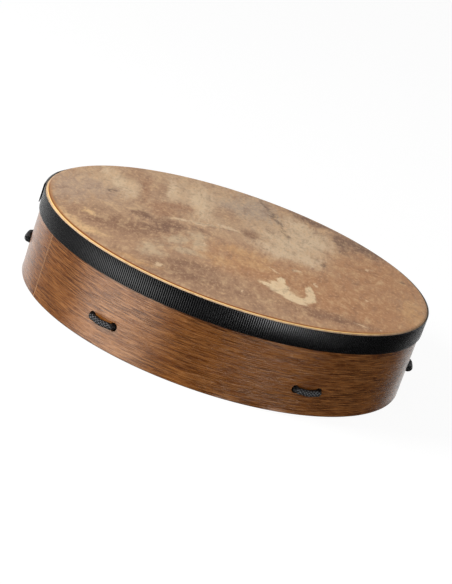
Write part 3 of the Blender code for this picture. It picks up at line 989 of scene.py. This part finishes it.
def braided_rings(path, travelled):
    """Rings of points round the path, with the braid's relief."""
    ahead = np.gradient(path, axis=0)
    ahead /= np.linalg.norm(ahead, axis=1)[:, None]
    side = np.cross(ahead[0], (0, 0, 1))
    round_cord = np.arange(CORD_SIDES) / CORD_SIDES
    cosines = np.cos(math.tau * round_cord)[:, None]
    sines = np.sin(math.tau * round_cord)[:, None]
    rings = []
    for here, forward, along_cord in zip(path, ahead, travelled):
        side = side - forward * np.dot(side, forward)
        side /= np.linalg.norm(side)
        up = np.cross(forward, side)
        height = braid_height(round_cord, along_cord)[:, None]
        radius = CORD_RADIUS * (BRAID_LOW + (BRAID_HIGH - BRAID_LOW) * height)
        rings.append(here + radius * cosines * side + radius * sines * up)
    return np.array(rings)


def between(tree, share, first, second):
    return add_node(tree, "Mix", {0: share, 2: first, 3: second}).outputs[0]


def black_braid():
    """The yarns of whichever strand lies on top, grey along its middle as a painted highlight, with painted
    shade at its edges and where the cord dives into a hole.
    """
    material, tree, shader = start_material("black_braid")
    lay = add_node(tree, "UVMap", {}, uv_map=BRAID_MAP).outputs[0]
    round_cord, along_cord, _ = split_up(tree, lay)
    around = times(tree, round_cord, BRAID_STRANDS)
    onward = arithmetic(tree, "DIVIDE", along_cord, BRAID_CELL)
    first = arithmetic(tree, "ADD", around, onward)
    second = arithmetic(tree, "SUBTRACT", around, onward)
    cells = arithmetic(tree, "ADD", arithmetic(tree, "FLOOR", first), arithmetic(tree, "FLOOR", second))
    second_on_top = arithmetic(tree, "FLOORED_MODULO", cells, 2.0)
    across = between(tree, second_on_top, first, second)
    yarn = arithmetic(tree, "SINE", times(tree, across, math.tau * YARNS))
    place = object_place(tree)
    fuzz = noise(tree, place, *BRAID_FUZZ)
    # A painted highlight of grey yarn along each strand's middle.
    fibre = mixed(tree, graded(tree, yarn, -1.0, 1.0), shade(*YARN_HIGHLIGHT_DIM), shade(*YARN_HIGHLIGHT_BRIGHT))
    dust = noise(tree, place, *BRAID_DUST)
    patterns = {"fuzz": fuzz, "dust": dust, "off_middle": off_middle(tree, across)}
    fibre = toned(tree, fibre, patterns, BRAID_TONES)

    # Painted shade on the cord where it goes into the hoop's holes.
    out = distance(tree, scaled(tree, place, (MM, MM, 0)))
    outer_start, outer_end = [hoop_radius * MM + reach for reach in HOLE_SHADE_OUTSIDE_MM]
    inner_start, inner_end = [hoop_inside * MM - reach for reach in HOLE_SHADE_INSIDE_MM]
    hole_shade = times(tree, graded(tree, out, outer_start, outer_end, 0.0, HOLE_SHADE_STRENGTH),
                   graded(tree, out, inner_start, inner_end))
    fibre = mixed(tree, hole_shade, fibre, shade(*HOLE_SHADE_COLOUR))
    roughness = spread(tree, fuzz, *BRAID_ROUGHNESS)
    relief = bumped(tree, fuzz, BRAID_FUZZ_RELIEF, bumped(tree, yarn, YARN_RELIEF))
    dress(tree, shader, fibre, roughness, relief, BRAID_GLOSS)
    return material


braid = black_braid()
next_arm = arm_turns[1]
winding = winding_path()
stitch = stitch_path()
out_strand = [on_circle(tail_radius, hole_angle, 0)]
back_strand = [next_arm @ on_circle(tail_radius, -hole_angle, 0), next_arm @ stitch[0]]
cord_path, cord_travelled = evenly_spaced(stitch + out_strand + winding + back_strand, CORD_STEP)
cord_path[:, 2] += LACING_HEIGHT
cord_rings = braided_rings(cord_path, cord_travelled)


def cord_stretch(name, first, last, arm):
    """The cord from one ring of points to another, turned to an arm of the lacing."""
    rings = cord_rings[first:last + 1] @ np.array(arm_turns[arm]).T
    mesh = lofted(name, rings, capped=True)
    lay = mesh.uv_layers.new(name=BRAID_MAP)
    for face in mesh.polygons:
        marks = [divmod(mesh.loops[loop].vertex_index, CORD_SIDES) for loop in face.loop_indices]
        wraps = len(marks) == 4 and max(mark[1] for mark in marks) - min(mark[1] for mark in marks) > 1
        for loop, (row, column) in zip(face.loop_indices, marks):
            round_cord = (column + CORD_SIDES * (wraps and column == 0)) / CORD_SIDES
            lay.data[loop].uv = (round_cord, cord_travelled[first + row])
    return add_piece(mesh, braid)


def nearest_ring(point):
    return int(np.argmin(np.linalg.norm(cord_path - np.array(point) - (0, 0, LACING_HEIGHT), axis=1)))


stitch_end = nearest_ring(stitch[-1])
winding_start = nearest_ring(winding[0])
winding_end = nearest_ring(winding[-1])
cord_end = len(cord_path) - 1


# The stitches
# The braided cord's six short runs on the outside of the hoop. Each comes out of a hole, bends over its
# edge, lies on the wood with a little slack, and goes in through the hole beside it.
for arm in range(ARM_COUNT):
    piece = cord_stretch(f"braid_stitch_{arm + 1}", 0, stitch_end, arm)
    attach(piece, "frame")
    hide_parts(f"cord_stitch_{arm + 1}")


# The strands
# The braided cord's twelve straight runs between the holes and the ring, drawn tight. The hoop holds one
# end of each and the ring the other.
for arm in range(ARM_COUNT):
    after = (arm + 1) % ARM_COUNT
    runs = ((f"{arm + 1}b", stitch_end, winding_start, out_strand[0], winding[0]),
            (f"{after + 1}a", winding_end, cord_end, back_strand[0], winding[-1]))
    for label, first, last, at_hole, at_ring in runs:
        piece = cord_stretch(f"braid_strand_{label}", first, last, arm)
        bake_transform(piece)
        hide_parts(f"lacing_strand_{label}")


# The windings
# Two and a half turns of the same cord round the ring between each two arms, wound by hand. They hold the
# strands to the ring and make the grip soft to hold.
for arm in range(ARM_COUNT):
    piece = cord_stretch(f"braid_winding_{arm + 1}", winding_start, winding_end, arm)
    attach(piece, "grip")
    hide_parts(f"ring_winding_{arm + 1}")


# The studio
# A plain white floor and a white room, with one broad soft lamp above the camera's left and a weaker one on
# its right. The floor is dark where the drum covers it, and clear from below, to show the open back.
FLOOR_HALF = 12.0
FLOOR_DROP = 0.0003
FLOOR_SHARE = 0.88
FLOOR_GLOW = 1.05
FLOOR_ROUGHNESS = 0.9
ROOM_LIGHT = 0.30

# What gloss mirrors: a bright back wall that fades to a dark front, and soft boxes, each with its turn and
# rise in degrees, its strength, and the angles from its middle where it begins and where it is full.
BACK_MIDDLE = (-0.1, 0.995, 0.0)
BACK_FADE = (0.56, 0.88)
DARK_FRONT = 0.03
BRIGHT_BACK = 1.15
SOFT_BOXES = ((214.0, -18.0, 2.7, 32.0, 10.0), (178.0, -18.0, 0.20, 50.0, 15.0),
              (304.0, 10.0, 6.0, 22.0, 8.0))

# The lamps: name, place, width and watts.
LAMPS = (("key_lamp", (-2.37, -0.78, 1.47), 1.4, 86.0), ("fill_lamp", (0.39, -2.77, 0.75), 1.6, 27.0))

world = bpy.data.worlds.new("white_room")
bpy.context.scene.world = world
world.use_nodes = True
world.cycles.sampling_method = "NONE"
room = world.node_tree
ray = add_node(room, "LightPath", {}).outputs
look = add_node(room, "TexCoord", {}).outputs["Generated"]
mirrored = graded(room, dot_product(room, look, BACK_MIDDLE), *BACK_FADE, DARK_FRONT, BRIGHT_BACK)
for turn_deg, rise_deg, strength, begins_deg, full_deg in SOFT_BOXES:
    rise = math.radians(rise_deg)
    towards = on_circle(math.cos(rise), math.radians(turn_deg), math.sin(rise))
    begins, full = math.cos(math.radians(begins_deg)), math.cos(math.radians(full_deg))
    soft_box = graded(room, dot_product(room, look, towards), begins, full, 0.0, strength)
    mirrored = arithmetic(room, "ADD", mirrored, soft_box)
seen_directly = arithmetic(room, "MAXIMUM", ray["Is Camera Ray"], ray["Is Transmission Ray"])
room_light = between(room, ray["Is Glossy Ray"], ROOM_LIGHT, mirrored)
room_light = between(room, seen_directly, room_light, 1.0)
sky = room.nodes["Background"]
sky.inputs["Color"].default_value = WHITE
room.links.new(room_light, sky.inputs["Strength"])

for name, place, width, watts in LAMPS:
    light = bpy.data.lights.new(name, "AREA")
    light.shape = "DISK"
    light.size = width
    light.energy = watts
    lamp = bpy.data.objects.new(name, light)
    lamp.location = place
    lamp.visible_camera = False
    lamp.visible_glossy = False
    lamp.rotation_euler = (-Vector(place)).to_track_quat("-Z", "Y").to_euler()
    bpy.context.scene.collection.objects.link(lamp)


def white_floor():
    """Glowing white outside the hoop, clear from below, and seen by the camera alone."""
    material, tree, shader = start_material("white_floor")
    shader.inputs["Base Color"].default_value = WHITE
    shader.inputs["Roughness"].default_value = FLOOR_ROUGHNESS
    glow = add_node(tree, "Emission", {"Color": WHITE, "Strength": FLOOR_GLOW}).outputs[0]
    out = distance(tree, scaled(tree, object_place(tree), (1, 1, 0)))
    glowing = graded(tree, out, hoop_inside, hoop_inside + HOOP_EASE, 0.0, FLOOR_SHARE)
    paper = add_node(tree, "MixShader", {0: glowing, 1: shader.outputs[0], 2: glow}).outputs[0]
    clear = add_node(tree, "BsdfTransparent", {}).outputs[0]
    seen = add_node(tree, "LightPath", {}).outputs["Is Camera Ray"]
    below = add_node(tree, "NewGeometry", {}).outputs["Backfacing"]
    shown = times(tree, seen, arithmetic(tree, "SUBTRACT", 1.0, below))
    surface = add_node(tree, "MixShader", {0: shown, 1: clear, 2: paper}).outputs[0]
    tree.links.new(surface, tree.nodes["Material Output"].inputs["Surface"])
    return material


corner_signs = ((-1, -1), (1, -1), (1, 1), (-1, 1))
corners = [(x * FLOOR_HALF, y * FLOOR_HALF, -FLOOR_DROP) for x, y in corner_signs]
floor_mesh = bpy.data.meshes.new("studio_floor")
floor_mesh.from_pydata(corners, [], [(0, 1, 2, 3)])
floor_mesh.materials.append(white_floor())
studio_floor = bpy.data.objects.new("studio_floor", floor_mesh)
bpy.context.scene.collection.objects.link(studio_floor)

bpy.context.scene.view_settings.view_transform = "Standard"
